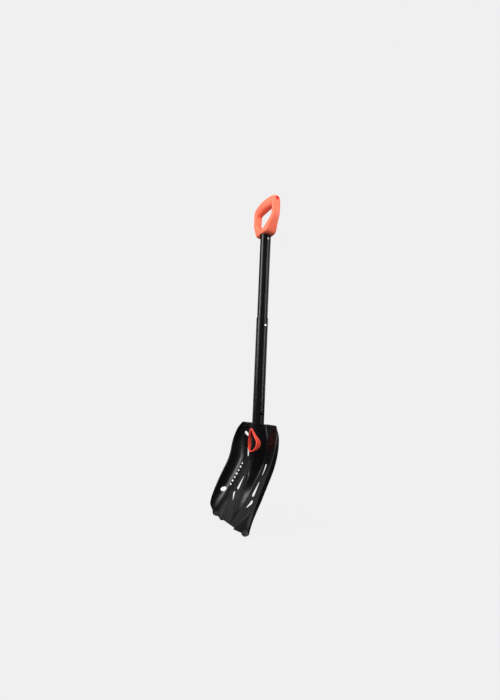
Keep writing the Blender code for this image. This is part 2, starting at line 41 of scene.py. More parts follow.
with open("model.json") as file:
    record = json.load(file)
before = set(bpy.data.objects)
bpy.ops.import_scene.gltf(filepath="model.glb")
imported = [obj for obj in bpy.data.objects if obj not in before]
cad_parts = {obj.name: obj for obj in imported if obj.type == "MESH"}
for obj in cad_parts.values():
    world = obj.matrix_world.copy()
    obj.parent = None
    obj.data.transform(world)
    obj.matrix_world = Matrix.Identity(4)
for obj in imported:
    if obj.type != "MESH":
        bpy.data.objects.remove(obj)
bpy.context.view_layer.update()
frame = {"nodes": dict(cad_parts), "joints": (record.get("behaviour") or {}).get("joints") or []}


def middle(node):
    low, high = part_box(node)
    return (low + high) / 2


def span(node):
    low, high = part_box(node)
    return high - low


# Sizes that come from the frame ---------------------------------------------------------------------------

AXIS = middle("lower_tube")
SHAFT_Y = AXIS.y
LOWER_A, LOWER_B = span("lower_tube").x / 2, span("lower_tube").y / 2
LOWER_FOOT, LOWER_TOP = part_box("lower_tube")[0].z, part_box("lower_tube")[1].z
UPPER_A, UPPER_B = span("upper_tube").x / 2, span("upper_tube").y / 2
UPPER_FOOT, UPPER_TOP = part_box("upper_tube")[0].z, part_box("upper_tube")[1].z
TELESCOPE_Z = middle("telescope_button").z
BLADE_LOCK_Z = middle("blade_lock_button").z
TELESCOPE = next(joint for joint in frame["joints"] if joint["name"] == "telescope_slide")
TRAVEL = max(abs(end) for end in TELESCOPE["range_m"])
GRIP_RIVET_Z = middle("grip_rivet").z
GRIP_RIVET_R = span("grip_rivet").z / 2
PLATE_FOOT, PLATE_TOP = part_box("socket_plate")[0].z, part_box("socket_plate")[1].z
PLATE_HALF = span("socket_plate").x / 2
RIVET_X = middle("blade_rivet_right_1").x
RIVET_ZS = [middle(f"blade_rivet_right_{number}").z for number in (1, 2, 3)]

# Sizes of the CAD model that the frame's boxes don't give -------------------------------------------------

TUBE_WALL = 1.2 * MM
BUTTON_R = 3.6 * MM
BUTTON_HOLE_R = 4.0 * MM
BLADE_TOP = 274.5 * MM
SHEET = 1.8 * MM
PANEL_BACK = 12 * MM
LIFT, BEND_Z, BEND_SOFTNESS = 0.55, 165.5 * MM, 14 * MM
RIM_HALF, RIM_SPREAD = 106.5 * MM, 0.055
BULGE, BULGE_Z, BULGE_RUN = 8 * MM, 215 * MM, 38 * MM
WALL_PEAK, WALL_PEAK_Z, WALL_FALL = 36 * MM, 135 * MM, 1.33
WALL_LEAN = 0.45
LOW_LEAN, LOW_LEAN_Z = 0.5, 80 * MM
HIGH_LEAN, HIGH_LEAN_Z = 1.25, 235 * MM
LIP, LIP_RISE = 4 * MM, 1.6 * MM
CORNER_HALF, CORNER_Z, CORNER_X = 94 * MM, 40 * MM, 121 * MM
STEP_DEPTH, STEP_TOP, STEP_RUN, STEP_RETURN = 8 * MM, 52 * MM, 2 * MM, 14 * MM
TREAD_Z, TREAD_CURL = 266.5 * MM, 4 * MM
THROUGH_BLADE = (-150 * MM, SHAFT_Y + 30 * MM)

# Ridge stations from the cutting edge up: height, half width, rise over the panel, fullness.
RIDGE = (
    (0, 3, 0.0, 1.0),
    (15, 6, 1.0, 1.0),
    (36, 17, 3.0, 1.0),
    (58, 23, 5.5, 0.95),
    (84, 25, 8.5, 0.9),
    (107, 25, 15, 0.8),
    (133, 26, 23.5, 0.65),
    (158, 28, 28.5, 0.5),
    (183, 33, 30.5, 0.5),
    (208, 38, 32, 0.5),
    (235, 37, 33, 0.45),
    (256, 28, 33.2, 0.35),
    (270, 23, 33.2, 0.26),
)
# Slots in the panel: centre across and up, length, radius of the top end and of the foot, lean outward.
SLOTS = (
    (43.5, 150.5, 31, 4.0, 2.2, 0.0),
    (44.0, 99.5, 39, 2.2, 6.5, 0.0),
    (47.4, 62.0, 26, 5.5, 2.2, 0.61),
)
LEFT_SLOTS = (  # on the left half only
    (83.0, 239.0, 22, 5.5, 5.5, 1.15),
    (67.0, 186.0, 30, 4.5, 4.5, 0.25),
)
EYE_R, EYE_Z = 27 * MM, 220 * MM
EYE_TIP_R, EYE_TIP_Z = 7 * MM, 256.5 * MM
COLLAR_WALL = 6 * MM
COLLAR_FRONT, COLLAR_DROP = 23.6 * MM, 8 * MM
COLLAR_DEPTH, COLLAR_SKIRT = 4.6 * MM, 9.5 * MM
PLATE_T = 1.8 * MM
GAP = 0.3 * MM
RIVET_R, RIVET_HEAD_R, RIVET_HEAD = 2 * MM, 3.8 * MM, 1.1 * MM

GRIP_FOOT = 835 * MM
GRIP_OUTER = ((29, 835, 6), (60, 880, 30), (58, 939, 13), (0, 949.5, 150))
GRIP_HAND = ((9, 853, 7), (43, 886, 16), (43, 914, 8), (0, 916, 150))
GRIP_DEPTHS = (19.9, 12.5, 13, 15.5)
RECESS_A, RECESS_B, RECESS = LOWER_A + 0.6 * MM, LOWER_B + 0.6 * MM, 10.6 * MM
END_FACE, END_HOLE_Z = 58 * MM, 928 * MM
END_HOLE_R, END_HOLE_DEPTH, END_PLUG_SUNK = 6 * MM, 10 * MM, 6 * MM

# Rounder here than in the CAD model: the bend at the foot of the walls, and the grip's section
BEND_RUN = 27 * MM
GRIP_SQUARE = (3.2, 2.4, 2.4, 2.2)

# Ink marks on the left: a row of bars from top to bottom, and one oval. Places are (across, up).
BAR_COUNT = 7
BAR_TOP, BAR_FOOT = (-80 * MM, 148 * MM), (-88.5 * MM, 86 * MM)
BAR_LENGTH, BAR_WIDTHS, BAR_LEAN = 5.5 * MM, (3.6 * MM, 5.4 * MM), -0.14
OVAL_PLACE, OVAL_SIZE, OVAL_LEAN = (-102 * MM, 70 * MM), 13 * MM, -0.2
INK_LIFT = 0.12 * MM

# Fineness of the visible meshes
ROW_STEP = 2.0 * MM
TUBE_SIDES = 128

# Materials ------------------------------------------------------------------------------------------------


class Nodes:
    """Short calls for a material's node tree."""

    def __init__(self, name):
        self.material = bpy.data.materials.new(name)
        self.material.use_nodes = True
        self.tree = self.material.node_tree
        self.shader = self.tree.nodes["Principled BSDF"]
        self.place = self.add("ShaderNodeTexCoord").outputs["Object"]

    def add(self, kind, **values):
        node = self.tree.nodes.new(kind)
        for key, value in values.items():
            setattr(node, key, value)
        return node

    def link(self, source, target):
        self.tree.links.new(source, target)

    def noise(self, scale, detail=4.0, roughness=0.5, stretch=None):
        node = self.add("ShaderNodeTexNoise")
        node.inputs["Scale"].default_value = scale
        node.inputs["Detail"].default_value = detail
        node.inputs["Roughness"].default_value = roughness
        place = self.place
        if stretch:
            mapping = self.add("ShaderNodeMapping")
            mapping.inputs["Scale"].default_value = stretch
            self.link(self.place, mapping.inputs["Vector"])
            place = mapping.outputs["Vector"]
        self.link(place, node.inputs["Vector"])
        return node.outputs["Fac"]

    def remap(self, source, low, high, from_low=0.3, from_high=0.7):
        node = self.add("ShaderNodeMapRange")
        node.inputs["From Min"].default_value = from_low
        node.inputs["From Max"].default_value = from_high
        node.inputs["To Min"].default_value = low
        node.inputs["To Max"].default_value = high
        self.link(source, node.inputs["Value"])
        return node.outputs["Result"]

    def mix(self, factor, first, second):
        node = self.add("ShaderNodeMix", data_type="RGBA")
        for socket, value in ((6, first), (7, second)):
            if isinstance(value, tuple):
                node.inputs[socket].default_value = (*value, 1)
            else:
                self.link(value, node.inputs[socket])
        self.link(factor, node.inputs["Factor"])
        return node.outputs[2]

    def bump(self, height, distance, strength=1.0, before=None):
        node = self.add("ShaderNodeBump")
        node.inputs["Strength"].default_value = strength
        node.inputs["Distance"].default_value = distance
        self.link(height, node.inputs["Height"])
        if before:
            self.link(before, node.inputs["Normal"])
        return node.outputs["Normal"]

    def set(self, **values):
        names = {
            "colour": "Base Color",
            "metal": "Metallic",
            "rough": "Roughness",
            "normal": "Normal",
            "specular": "Specular IOR Level",
        }
        for key, value in values.items():
            socket = self.shader.inputs[names[key]]
            if isinstance(value, bpy.types.NodeSocket):
                self.link(value, socket)
            else:
                socket.default_value = value
        return self.material


def anodised(name, rough=(0.27, 0.36), grain=None):
    """Satin black anodised aluminium: faint cloudiness, a fine grain, light rubbing on the outer edges."""
    light, dark = (0.0032, 0.0025, 0.0034), (0.0017, 0.0013, 0.0019)
    n = Nodes(name)
    cloud = n.noise(26, 5, 0.55)
    fine = n.noise(900, 3, 0.6, grain)
    speck = n.noise(3200, 2, 0.5)
    body = n.mix(n.remap(cloud, 0, 1), dark, light)
    rubbed = n.add("ShaderNodeMath", operation="MULTIPLY")
    edge = n.remap(n.add("ShaderNodeNewGeometry").outputs["Pointiness"], 0, 1, 0.56, 0.66)
    n.link(edge, rubbed.inputs[0])
    n.link(n.remap(fine, 0, 0.5, 0.42, 0.62), rubbed.inputs[1])
    n.set(colour=n.mix(rubbed.outputs[0], body, (0.11, 0.105, 0.11)))
    n.set(rough=n.remap(fine, rough[0], rough[1]), specular=0.4)
    soft = n.bump(fine, 0.00004, 0.35)
    n.set(normal=n.bump(speck, 0.00002, 0.25, soft))
    return n.material


def coral(name, light=(1.0, 0.205, 0.115), dark=(0.96, 0.165, 0.088), rough=(0.38, 0.52)):
    """Coral moulded plastic: a fine spark-eroded texture and a slight unevenness of colour."""
    n = Nodes(name)
    cloud = n.noise(22, 4, 0.5)
    pores = n.noise(1500, 3, 0.6)
    n.set(colour=n.mix(n.remap(cloud, 0, 1), dark, light))
    n.set(rough=n.remap(pores, *rough), specular=0.45)
    n.set(normal=n.bump(pores, 0.00006, 0.45))
    return n.material


def black_plastic():
    n = Nodes("black_plastic_look")
    cloud = n.noise(40, 4)
    pores = n.noise(1400, 3)
    n.set(colour=n.mix(n.remap(cloud, 0, 1), (0.012, 0.012, 0.013), (0.022, 0.022, 0.024)))
    n.set(rough=n.remap(pores, 0.5, 0.68), normal=n.bump(pores, 0.00006, 0.5))
    return n.material


def steel(name, stretch, light=(0.86, 0.85, 0.84), dark=(0.66, 0.65, 0.64), rough=(0.24, 0.42)):
    """Brushed, nickel-bright steel; stretch sets the way of the brushing."""
    n = Nodes(name)
    lines = n.noise(700, 4, 0.65, stretch)
    cloud = n.noise(120, 3)
    n.set(colour=n.mix(n.remap(cloud, 0, 1), dark, light), metal=1.0)
    n.set(rough=n.remap(lines, *rough), normal=n.bump(lines, 0.00002, 0.3))
    return n.material


def paint():
    """Pale printed ink, a little worn through."""
    n = Nodes("pale_ink_look")
    worn = n.noise(2200, 4, 0.7)
    n.set(colour=n.mix(n.remap(worn, 0, 1, 0.25, 0.42), (0.45, 0.45, 0.46), (0.92, 0.92, 0.93)))
    n.set(rough=n.remap(worn, 0.45, 0.6), normal=n.bump(worn, 0.00002, 0.3))
    return n.material


# Meshes ---------------------------------------------------------------------------------------------------


def piece(name, mesh, look, body, node=None, sharp=38):
    obj = bpy.data.objects.new(name, mesh)
    bpy.context.scene.collection.objects.link(obj)
    mesh.materials.clear()
    mesh.materials.append(look)
    mesh.shade_smooth()
    mesh.set_sharp_from_angle(angle=math.radians(sharp))
    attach(obj, body)
    if node:
        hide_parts(node)
    return obj


def grid_mesh(name, rows, wrap_rows=False, wrap_columns=False, caps=False):
    """Rows of points joined by quads; wrapped round, and closed with caps, as asked."""
    rows = np.asarray(rows, float)
    count, across = rows.shape[:2]
    bm = bmesh.new()
    points = [[bm.verts.new(point) for point in row] for row in rows]
    for i in range(count if wrap_rows else count - 1):
        here, there = points[i], points[(i + 1) % count]
        for j in range(across if wrap_columns else across - 1):
            k = (j + 1) % across
            bm.faces.new((here[j], here[k], there[k], there[j]))
    if caps:
        bm.faces.new(points[0])
        bm.faces.new(points[-1])
    bmesh.ops.recalc_face_normals(bm, faces=bm.faces)
    mesh = bpy.data.meshes.new(name)
    bm.to_mesh(mesh)
    bm.free()
    return mesh


def extruded(name, outline, y0, y1):
    rows = [[(x, y, z) for x, z in outline] for y in (y0, y1)]
    return grid_mesh(name, rows, wrap_columns=True, caps=True)


def turned(name, start, end, profile, sides=48):
    """A turned solid along start-end: its profile is (distance along, radius), from 0 to the length."""
    start, end = Vector(start), Vector(end)
    turn = (end - start).to_track_quat("Z", "Y").to_matrix()
    rows = []
    for along_axis, radius in profile:
        ring = []
        for k in range(sides):
            angle = 2 * math.pi * k / sides
            local = Vector((radius * math.cos(angle), radius * math.sin(angle), along_axis))
            ring.append(start + turn @ local)
        rows.append(ring)
    return grid_mesh(name, rows, wrap_columns=True, caps=True)


def rod(name, radius, start, end, sides=48):
    length = (Vector(end) - Vector(start)).length
    return turned(name, start, end, ((0, radius), (length, radius)), sides)


def oval_prism(name, half_a, half_b, z0, z1, sides=TUBE_SIDES):
    rows = []
    for z in (z0, z1):
        turns = [2 * math.pi * k / sides for k in range(sides)]
        rows.append([(half_a * math.cos(t), SHAFT_Y + half_b * math.sin(t), z) for t in turns])
    return grid_mesh(name, rows, wrap_columns=True, caps=True)


def with_modifiers(mesh, changes):
    """The mesh after its modifiers, which changes(object) adds, as a new mesh of the same name."""
    obj = bpy.data.objects.new(mesh.name, mesh)
    bpy.context.scene.collection.objects.link(obj)
    changes(obj)
    bpy.context.view_layer.update()
    shown = obj.evaluated_get(bpy.context.evaluated_depsgraph_get())
    made = bpy.data.meshes.new_from_object(shown)
    bpy.data.objects.remove(obj)
    return made


def cut(mesh, cutters):
    """The mesh less all the cutters, in one exact Boolean."""
    group = bpy.data.collections.new("cutters")
    bpy.context.scene.collection.children.link(group)
    tools = []
    for cutter in cutters:
        tool = bpy.data.objects.new(cutter.name, cutter)
        group.objects.link(tool)
        tools.append(tool)

    def changes(obj):
        change = obj.modifiers.new("cut", "BOOLEAN")
        change.operation = "DIFFERENCE"
        change.operand_type = "COLLECTION"
        change.collection = group
        change.solver = "EXACT"

    made = with_modifiers(mesh, changes)
    for tool in tools:
        bpy.data.objects.remove(tool)
    bpy.data.collections.remove(group)
    return made


def resample(points, count):
    """The same polyline with evenly spaced points."""
    points = np.asarray(points, float)
    steps = np.linalg.norm(np.diff(points, axis=0), axis=1)
    places = np.concatenate([[0], np.cumsum(steps)])
    wanted = np.linspace(0, places[-1], count)
    return np.stack([np.interp(wanted, places, points[:, i]) for i in range(points.shape[1])], 1)


def softened(points, reach, wrap=False):
    """Evenly spaced points averaged along the line with a bell of the given reach, counted in points."""
    width = max(1, int(reach * 3))
    bell = np.exp(-0.5 * (np.arange(-width, width + 1) / max(reach, 1e-6)) ** 2)
    bell /= bell.sum()
    if wrap:
        padded = np.concatenate([points[-width:], points, points[:width]])
    else:
        first = 2 * points[0] - points[width:0:-1]
        last = 2 * points[-1] - points[-2 : -2 - width : -1]
        padded = np.concatenate([first, points, last])
    return np.stack([np.convolve(padded[:, i], bell, "valid") for i in range(points.shape[1])], 1)


# Blade surface --------------------------------------------------------------------------------------------


def smoothstep(value, low, high):
    t = min(max((value - low) / (high - low), 0.0), 1.0)
    return t * t * (3 - 2 * t)


def along(stations, column, height):
    """A smooth curve through one column of the stations, at a height."""
    heights = [row[0] * MM for row in stations]
    values = [row[column] for row in stations]
    height = min(max(height, heights[0]), heights[-1])
    k = max(i for i in range(len(heights) - 1) if heights[i] <= height)

    def slope(i):
        if i in (0, len(heights) - 1):
            return 0.0
        return (values[i + 1] - values[i - 1]) / (heights[i + 1] - heights[i - 1])

    reach = heights[k + 1] - heights[k]
    t = (height - heights[k]) / reach
    return (
        (2 * t**3 - 3 * t**2 + 1) * values[k]
        + (t**3 - 2 * t**2 + t) * reach * slope(k)
        + (3 * t**2 - 2 * t**3) * values[k + 1]
        + (t**3 - t**2) * reach * slope(k + 1)
    )


def panel_y(z):
    drop = (BEND_Z - z) * LIFT
    return SHAFT_Y + PANEL_BACK - (drop + math.hypot(drop, BEND_SOFTNESS)) / 2


def wall_height(z):
    return WALL_PEAK - WALL_FALL * (z - WALL_PEAK_Z) ** 2


def wall_lean(z):
    low = max(0.0, 1 - z / LOW_LEAN_Z)
    high = max(0.0, (z - HIGH_LEAN_Z) / (BLADE_TOP - HIGH_LEAN_Z))
    return WALL_LEAN + LOW_LEAN * low + HIGH_LEAN * high**2


def rim_x(z):
    shoulder = max(0, z - 245 * MM)
    bulge = BULGE * math.exp(-(((z - BULGE_Z) / BULGE_RUN) ** 2))
    return RIM_HALF + (249 * MM - z) * RIM_SPREAD - 18 * shoulder**2 + bulge


FOLD_TOP = 0.42  # share of the folded ridge's half width that is its flat top


def ridge_y(x, z):
    """How far the ridge stands in front of the panel: a fold low down, a full dome round the shaft."""
    half = along(RIDGE, 1, z) * MM
    t = abs(x) / half
    if t >= 1:
        return 0.0
    rise, fullness = along(RIDGE, 2, z) * MM, along(RIDGE, 3, z)
    dome = (math.cos(math.pi / 2 * t) ** 2) ** fullness
    fold = min(1.0, (1 - t) / (1 - FOLD_TOP))
    domed = smoothstep(z, 105 * MM, 150 * MM)
    return rise * (fold + (dome - fold) * domed)


def creases(z):
    return min(36 * MM + 0.68 * z, 62 * MM), min(72 * MM + 0.8 * z, 88 * MM)


def sawtooth_y(x, z):
    step, valley = creases(z)
    depth = STEP_DEPTH * max(0.0, 1 - z / STEP_TOP)
    if x <= step:
        return 0.0
    if x <= step + STEP_RUN:
        return depth * (x - step) / STEP_RUN
    if x <= valley:
        return depth * (valley - x) / (valley - step - STEP_RUN)
    return depth * min(1.0, (x - valley) / STEP_RETURN)


def tread_y(z):
    return TREAD_CURL * max(0.0, (z - TREAD_Z) / (BLADE_TOP - TREAD_Z)) ** 2


RIBS = (52, 60, 68, 76)  # treads pressed in the panel's top edge, across
RIB_FOOT, RIB_HALF, RIB_RISE = 255 * MM, 3.2 * MM, 2.0 * MM


def ribs_y(x, z):
    """Short upright ribs near the top edge, for the boot."""
    ends = smoothstep(z, RIB_FOOT, RIB_FOOT + 5 * MM)
    total = 0.0
    for centre in RIBS:
        away = abs(x - centre * MM) / RIB_HALF
        if away < 1:
            total += math.cos(math.pi / 2 * away) ** 2
    return RIB_RISE * ends * total


def half_section(z):
    """Points (x, y) of the front face from the middle to the rim at one height, finely spaced."""
    half = along(RIDGE, 1, z) * MM
    base_x = rim_x(z) - wall_lean(z) * wall_height(z)
    start = base_x - BEND_RUN
    points = []
    for i in range(60):
        x = half * math.sin(math.pi / 2 * i / 60)
        points.append((x, panel_y(z) - ridge_y(x, z)))
    first_x = max(start, half + 2 * MM)
    for x in np.linspace(half, first_x, 90):
        points.append((x, panel_y(z) - sawtooth_y(x, z) + tread_y(z) - ribs_y(x, z)))
    edge_y = points[-1][1]
    top = Vector((rim_x(z), panel_y(z) - wall_height(z)))
    corner = Vector((base_x, edge_y))
    first = Vector((first_x, edge_y))
    last = corner + (top - corner) * min(0.85, BEND_RUN / (top - corner).length)
    for i in range(1, 17):
        t = i / 16
        points.append(tuple(first * (1 - t) ** 2 + corner * 2 * t * (1 - t) + last * t**2))
    for i in range(1, 10):
        points.append(tuple(last.lerp(top, i / 10)))
    for i in range(11):
        turn = math.pi / 2 * i / 10
        points.append((top.x + LIP * (1 - math.cos(turn)), top.y - LIP_RISE * math.sin(turn)))
    return points


HALF_COLUMNS = 130
FINE_STEPS = 700


def soft_section(z):
    """The half section with its folds rounded: more under the dome's foot, less along the folded ridge."""
    half = np.asarray(half_section(z))
    fine = resample(half, FINE_STEPS)
    length = np.linalg.norm(np.diff(fine, axis=0), axis=1).sum()
    step = length / (FINE_STEPS - 1)
    wide = 3.0 * MM * smoothstep(z, 120 * MM, 175 * MM) + 0.9 * MM
    narrow = 0.9 * MM
    mirrored = np.concatenate([fine[:0:-1] * (-1, 1), fine])
    broad = softened(mirrored, wide / step)[FINE_STEPS - 1 :]
    tight = softened(mirrored, narrow / step)[FINE_STEPS - 1 :]
    foot = along(RIDGE, 1, z) * MM
    near = np.exp(-(((fine[:, 0] - foot) / (7 * MM)) ** 2))[:, None]
    return resample(tight + (broad - tight) * near, HALF_COLUMNS)


def blade_rows():
    heights = np.linspace(-2 * MM, BLADE_TOP, int((BLADE_TOP + 2 * MM) / ROW_STEP) + 1)
    rows = []
    for z in heights:
        half = soft_section(max(z, 0))
        full = np.concatenate([half[:0:-1] * (-1, 1), half])
        shift = panel_y(z) - panel_y(max(z, 0))
        rows.append([(x, y + shift, z) for x, y in full])
    return rows


def slot_outline(x, z, length, top, foot, lean, sides=12):
    """A long hole between two round ends, joined by tangents; lean turns its top outward."""
    tangent = math.asin((foot - top) / (length - top - foot))
    points = []
    ends = (
        (length / 2 - top, top, tangent, math.pi - tangent),
        (foot - length / 2, foot, math.pi - tangent, 2 * math.pi + tangent),
    )
    for centre, radius, first, last in ends:
        for i in range(sides + 1):
            turn = first + (last - first) * i / sides
            points.append((radius * math.cos(turn), centre + radius * math.sin(turn)))
    c, s = math.cos(lean), math.sin(lean)
    return [((x + u * c + v * s) * MM, (z - u * s + v * c) * MM) for u, v in points]


def corner_outline(side, sides=24):
    """What is cut off a bottom corner, outside an oval quarter."""
    run, past = CORNER_X - CORNER_HALF, 10 * MM
    points = []
    for i in range(sides + 1):
        turn = math.pi / 2 * i / sides
        points.append((side * (CORNER_HALF + run * math.sin(turn)), CORNER_Z * (1 - math.cos(turn))))
    beyond = side * (CORNER_X + past)
    return points + [(beyond, CORNER_Z), (beyond, -past), (side * CORNER_HALF, -past)]


def eye_outline(grow=0.0, sides=60, straights=12):
    low, high = EYE_R + grow, EYE_TIP_R + grow
    tangent = math.asin((low - high) / (EYE_TIP_Z - EYE_Z))
    arc = []
    for i in range(sides + 1):
        turn = tangent - (math.pi + 2 * tangent) * i / sides
        arc.append(Vector((low * math.cos(turn), EYE_Z + low * math.sin(turn))))
    tip = []
    for i in range(16):
        turn = math.pi - tangent - (math.pi - 2 * tangent) * i / 15
        tip.append(Vector((high * math.cos(turn), EYE_TIP_Z + high * math.sin(turn))))
    left = [arc[-1].lerp(tip[0], i / straights) for i in range(1, straights)]
    right = [tip[-1].lerp(arc[0], i / straights) for i in range(1, straights)]
    return [tuple(point) for point in arc + left + tip + right]


def rivet_holes():
    holes = []
    for side, word in SIDES:
        for z in RIVET_ZS:
            x = side * RIVET_X
            start, end = (x, SHAFT_Y - 5 * MM, z), (x, SHAFT_Y + 25 * MM, z)
            holes.append(rod(f"rivet_hole_{word}_{round(z / MM)}", RIVET_R + GAP, start, end, 24))
    return holes


def make_blade():
    def thick(obj):
        skin = obj.modifiers.new("sheet", "SOLIDIFY")
        skin.thickness = SHEET
        skin.offset = -1

    sheet = grid_mesh("blade_sheet", blade_rows())
    if sum(p.normal.y * p.area for p in sheet.polygons) > 0:
        sheet.flip_normals()
    solid = with_modifiers(sheet, thick)
    cutters = rivet_holes()
    for side, word in SIDES:
        slots = SLOTS if side > 0 else SLOTS + LEFT_SLOTS
        for number, (x, *shape, lean) in enumerate(slots, 1):
            outline = slot_outline(side * x, *shape, side * lean)
            cutters.append(extruded(f"slot_{number}_{word}", outline, *THROUGH_BLADE))
        cutters.append(extruded(f"corner_{word}", corner_outline(side), *THROUGH_BLADE))
    below = [(x * 150 * MM, -z * 20 * MM) for x, z in ((-1, 0), (1, 0), (1, 1), (-1, 1))]
    cutters.append(extruded("edge_trim", below, *THROUGH_BLADE))
    cutters.append(extruded("eye", eye_outline(0.4 * MM), SHAFT_Y - 45 * MM, SHAFT_Y + 4 * MM))
    mesh = cut(solid, cutters)
    mesh.name = "blade_sheet"
    piece("blade_sheet", mesh, LOOKS["blade"], "blade", "blade", sharp=34)


def make_marks():
    """Plain generic ink marks on the inner side: a row of short bars and one larger oval."""
    sections = {}

    def spot(x, z):
        key = round(z, 5)
        if key not in sections:
            sections[key] = soft_section(z)
        half = sections[key]
        return np.array((x, np.interp(abs(x), half[:, 0], half[:, 1]), z))

    def patch(x0, z0, length, width, lean, shape):
        rows = []
        for i in range(9):
            row = []
            v = i / 8 * 2 - 1
            for j in range(5):
                u = (j / 4 * 2 - 1) * shape(v)
                c, s = math.cos(lean), math.sin(lean)
                across, up = u * width / 2, v * length / 2
                x, z = x0 + across * c + up * s, z0 - across * s + up * c
                here = spot(x, z)
                du, dv = spot(x + 0.5 * MM, z) - here, spot(x, z + 0.5 * MM) - here
                normal = np.cross(du, dv)
                normal *= -np.sign(normal[1]) / np.linalg.norm(normal)
                row.append(here + normal * INK_LIFT)
            rows.append(row)
        return rows

    def bar(v):
        return min(1.0, 4 * (1.02 - abs(v)))

    def oval(v):
        return max(0.08, math.sqrt(max(0, 1 - v * v)))

    all_rows = []
    for i in range(BAR_COUNT):
        x, z = Vector(BAR_TOP).lerp(Vector(BAR_FOOT), i / (BAR_COUNT - 1))
        all_rows.append(patch(x, z, BAR_LENGTH, BAR_WIDTHS[i % 2], BAR_LEAN, bar))
    all_rows.append(patch(*OVAL_PLACE, OVAL_SIZE, OVAL_SIZE, OVAL_LEAN, oval))
    bm = bmesh.new()
    for rows in all_rows:
        part = grid_mesh("mark", rows)
        bm.from_mesh(part)
        bpy.data.meshes.remove(part)
    mesh = bpy.data.meshes.new("blade_marks")
    bm.to_mesh(mesh)
    bm.free()
    if sum(p.normal.y * p.area for p in mesh.polygons) > 0:
        mesh.flip_normals()
    piece("blade_marks", mesh, LOOKS["ink"], "blade")


def make_collar():
    """The lining of the hoe eye, with a rounded rim."""
    corner = 1.9 * MM
    profile = []
    inner = COLLAR_WALL - corner
    for centre_g, centre_deep, first in ((corner, 0, 90), (inner, 0, 0), (inner, 1, -90), (corner, 1, -180)):
        for i in range(7):
            turn = math.radians(first - 90 * i / 6 + 90)
            profile.append((centre_g - corner * math.cos(turn), centre_deep, corner * math.sin(turn)))
    rows = []
    for inward, deep, lift in profile:
        row = []
        for x, z in eye_outline(-inward):
            across = (x / EYE_R) ** 2
            depth = COLLAR_DEPTH + COLLAR_SKIRT * across
            front = SHAFT_Y - COLLAR_FRONT + COLLAR_DROP * across
            y = front + (depth - corner if deep else corner) - lift
            row.append((x, y, z))
        rows.append(row)
    mesh = grid_mesh("hoe_collar_ring", rows, wrap_rows=True, wrap_columns=True)
    piece("hoe_collar_ring", mesh, LOOKS["collar"], "blade", "hoe_collar")


def plate_y(x):
    flat = SHAFT_Y + PANEL_BACK + SHEET + GAP
    half_a, half_b = LOWER_A + 0.5 * MM, LOWER_B + 0.4 * MM
    if abs(x) >= half_a:
        return flat
    return max(flat, SHAFT_Y + half_b * math.sqrt(1 - (x / half_a) ** 2))


def make_socket_plate():
    xs = np.linspace(-PLATE_HALF, PLATE_HALF, 161)
    line = resample([(x, plate_y(x)) for x in np.linspace(-PLATE_HALF, PLATE_HALF, 800)], 500)
    line = softened(line, 3.0)
    ys = np.maximum(np.interp(xs, line[:, 0], line[:, 1]), [plate_y(x) for x in xs])
    rows = [[(x, y, z) for x, y in zip(xs, ys)] for z in np.linspace(PLATE_FOOT, PLATE_TOP, 24)]

    def thick(obj):
        skin = obj.modifiers.new("plate", "SOLIDIFY")
        skin.thickness = PLATE_T
        skin.offset = -1

    sheet = grid_mesh("socket_plate_pressing", rows)
    if sum(p.normal.y * p.area for p in sheet.polygons) > 0:
        sheet.flip_normals()
    near, far = (0, SHAFT_Y + 10 * MM, BLADE_LOCK_Z), (0, SHAFT_Y + 30 * MM, BLADE_LOCK_Z)
    cutters = rivet_holes() + [rod("plate_lock_hole", BUTTON_HOLE_R, near, far)]
    radius = 8 * MM
    for side, word in SIDES:
        for end, z in ((-1, PLATE_FOOT), (1, PLATE_TOP)):
            centre = Vector((side * (PLATE_HALF - radius), z - end * radius))
            arc = []
            for i in range(13):
                turn = math.pi / 2 * i / 12
                across, up = side * radius * math.cos(turn), end * radius * math.sin(turn)
                arc.append((centre.x + across, centre.y + up))
            past = 2 * MM
            corner = [(side * (PLATE_HALF + past), centre.y), *arc, (centre.x, z + end * past)]
            corner.append((side * (PLATE_HALF + past), z + end * past))
            name = f"plate_corner_{word}_{round(z / MM)}"
            cutters.append(extruded(name, corner, SHAFT_Y, SHAFT_Y + 30 * MM))
    mesh = cut(with_modifiers(sheet, thick), cutters)

    def eased(obj):
        edge = obj.modifiers.new("edge", "BEVEL")
        edge.width = 0.35 * MM
        edge.segments = 2
        edge.limit_method = "ANGLE"
        edge.angle_limit = math.radians(50)

    mesh = with_modifiers(mesh, eased)
    piece("socket_plate_pressing", mesh, LOOKS["plate"], "blade", "socket_plate")


def make_blade_rivets():
    back = SHAFT_Y + PANEL_BACK + SHEET + PLATE_T + 2 * GAP
    for side, word in SIDES:
        for number, z in enumerate(RIVET_ZS, 1):
            front = panel_y(z - RIVET_HEAD_R) - GAP
            length = back + RIVET_HEAD - (front - RIVET_HEAD)
            dome = []
            for i in range(1, 9):
                turn = math.pi / 2 * i / 8
                dome.append((RIVET_HEAD * (1 - math.cos(turn)), RIVET_HEAD_R * math.sin(turn)))
            profile = [(0, 0.05 * MM), *dome, (RIVET_HEAD, RIVET_R), (length - RIVET_HEAD, RIVET_R)]
            profile += [(length - a, r) for a, r in reversed(dome)] + [(length, 0.05 * MM)]
            x = side * RIVET_X
            name = f"rivet_{word}_{number}"
            mesh = turned(name, (x, front - RIVET_HEAD, z), (x, back + RIVET_HEAD, z), profile, 32)
            piece(name, mesh, LOOKS["rivet"], "blade", f"blade_rivet_{word}_{number}")


# Shaft ----------------------------------------------------------------------------------------------------


